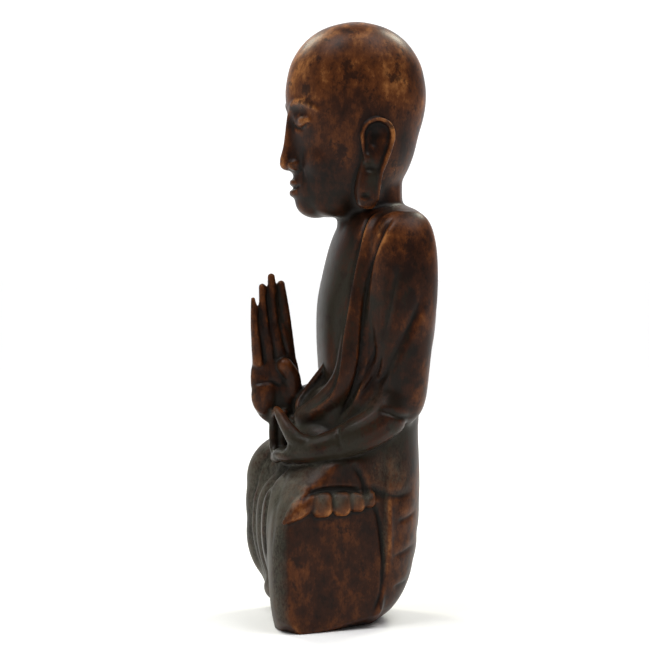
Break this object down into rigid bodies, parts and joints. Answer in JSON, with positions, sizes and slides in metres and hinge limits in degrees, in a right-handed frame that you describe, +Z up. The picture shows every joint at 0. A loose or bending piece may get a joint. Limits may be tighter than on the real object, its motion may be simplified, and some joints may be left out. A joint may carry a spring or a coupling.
{
  "type": "carved wooden seated monk figure",
  "caption": "Seated shaven-headed monk in a robe, carved in dark wood, right hand raised before the chest, left hand in the lap, standing on its flat underside.",
  "frame": {"origin": "middle of the bounding box, on the underside", "axes": "+Z up, -Y the way the figure faces, +X to the figure's left"},
  "size_m": [0.1872, 0.1902, 0.6104],
  "materials": {
    "wood": "dark brown stain with worn orange high places and a satin varnish"
  },
  "bodies": {
    "root": {"seated_monk": "wood"}
  },
  "joints": []
}
